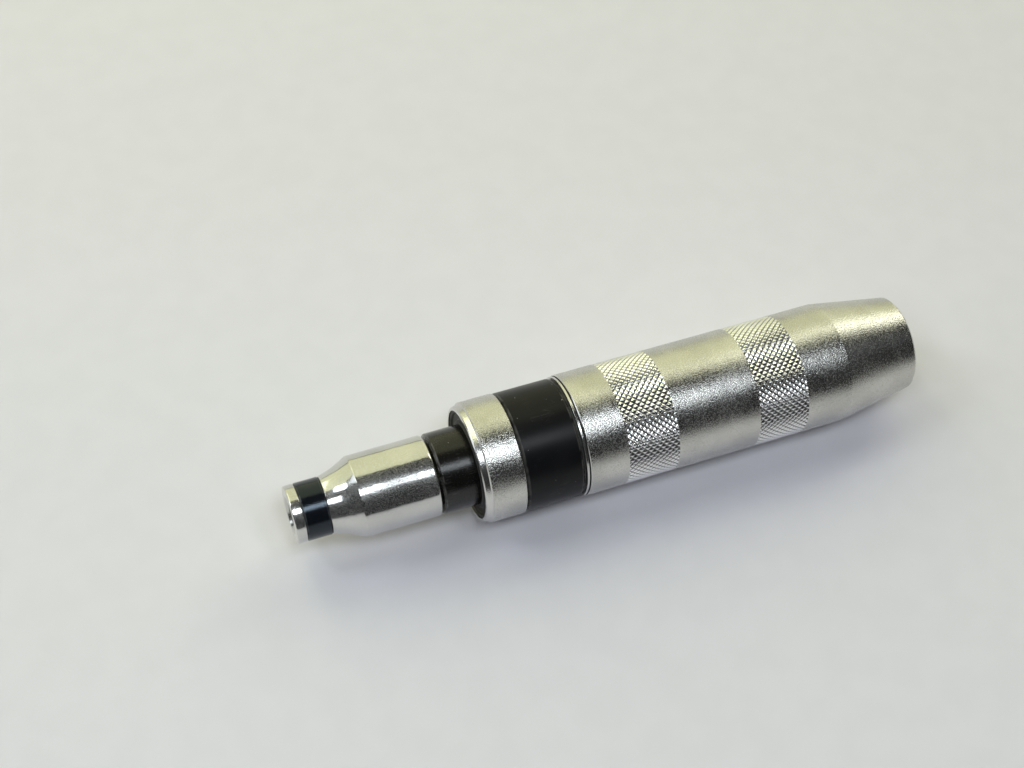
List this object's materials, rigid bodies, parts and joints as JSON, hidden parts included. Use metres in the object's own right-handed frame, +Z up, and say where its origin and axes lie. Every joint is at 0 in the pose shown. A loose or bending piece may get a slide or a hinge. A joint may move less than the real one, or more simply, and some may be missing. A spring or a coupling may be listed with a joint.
{
  "type": "hand impact driver",
  "caption": "Hammer-struck impact driver: tapered knurled barrel, black cam sleeve, chrome cap, sprung turning spindle and a pull-off hexagon bit holder.",
  "frame": {"origin": "centre of the struck face at the back of the barrel", "axes": "+X runs out of the struck face along the tool's axis, the bit end is toward -X, and +Z is up with the tool lying down"},
  "size_m": [0.1729, 0.033, 0.033],
  "materials": {
    "satin_chrome": "satin chrome plate with a fine sparkling grain",
    "mirror_chrome": "bright chrome plate, slightly wavy",
    "gloss_black": "glossy black finish on steel",
    "black_oxide": "satin black oxide",
    "black_spring_steel": "glossy blackened spring steel",
    "spring_steel": "oiled spring steel wire",
    "hard_steel": "ground hardened steel",
    "bearing_bronze": "plain bronze",
    "seal_rubber": "matt black rubber"
  },
  "bodies": {
    "barrel": {"barrel": "satin_chrome", "cam_sleeve": "gloss_black", "sleeve_keys": "hard_steel", "sleeve_lock_ring": "spring_steel", "mouth_seal": "seal_rubber", "front_cap": "satin_chrome", "cap_lock_ring": "spring_steel", "wiper_seal": "seal_rubber", "spring_shim": "hard_steel", "main_spring": "spring_steel"},
    "spring_seat": {"spring_seat": "hard_steel", "thrust_washer": "bearing_bronze"},
    "spindle": {"spindle": "black_oxide", "cross_pin": "hard_steel", "drive_detent_spring": "spring_steel"},
    "drive_ball": {"drive_detent_ball": "hard_steel"},
    "bit_holder": {"bit_holder": "mirror_chrome", "neck_spring_sleeve": "black_spring_steel"},
    "bit_ball": {"bit_detent_ball": "hard_steel"}
  },
  "joints": [
    {"name": "strike_travel", "type": "slide", "parent": "barrel", "child": "spring_seat", "axis": [1, 0, 0], "range_m": [0, 0.008], "stiffness_N_per_m": 6000, "springref_m": -0.005, "deforming": ["main_spring"]},
    {"name": "cam_turn", "type": "hinge", "parent": "spring_seat", "child": "spindle", "pos_m": [-0.088, 0, 0], "axis": [1, 0, 0], "range_deg": [0, 28]},
    {"name": "holder_pull", "type": "slide", "parent": "spindle", "child": "bit_holder", "axis": [-1, 0, 0], "range_m": [0, 0.02]},
    {"name": "drive_ball_press", "type": "slide", "parent": "spindle", "child": "drive_ball", "axis": [0, 0, -1], "range_m": [0, 0.0006], "stiffness_N_per_m": 400, "springref_m": -0.0005, "deforming": ["drive_detent_spring"]},
    {"name": "bit_ball_press", "type": "slide", "parent": "bit_holder", "child": "bit_ball", "axis": [0, 0, 1], "range_m": [0, 0.0005], "stiffness_N_per_m": 800, "springref_m": -0.0005}
  ],
  "couplings": [
    {"joint": "cam_turn", "follows": "strike_travel", "rad_per_m": 61.08}
  ]
}
